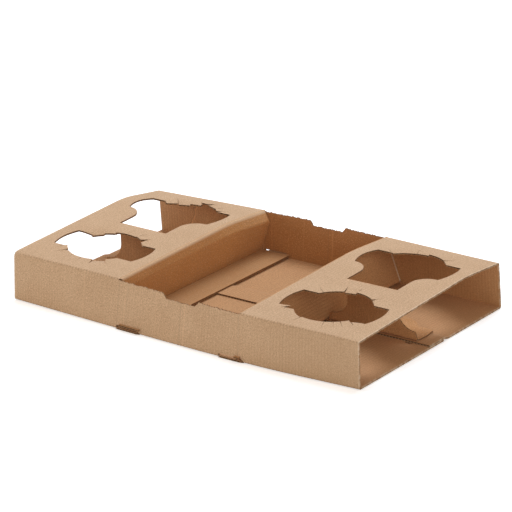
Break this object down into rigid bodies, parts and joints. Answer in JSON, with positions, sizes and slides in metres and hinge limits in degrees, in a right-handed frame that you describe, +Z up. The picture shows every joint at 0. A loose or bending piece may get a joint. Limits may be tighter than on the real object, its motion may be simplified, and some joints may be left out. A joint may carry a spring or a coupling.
{
  "type": "cardboard cup carrier",
  "caption": "Flat carrier folded from one sheet of corrugated board: holes for cups at both ends with hanging dividers, and an open well between them.",
  "frame": {"origin": "middle of the bounding box's underside, on the surface that the carrier stands on", "axes": "+X along the carrier, from the left block to the right block; +Y to the rear, where the hanging flaps' holes are; +Z up"},
  "size_m": [0.37, 0.2348, 0.0496],
  "materials": {
    "kraft_board": "unprinted brown kraft liner, matt"
  },
  "bodies": {
    "root": {"folded_carrier": "kraft_board"}
  },
  "joints": []
}
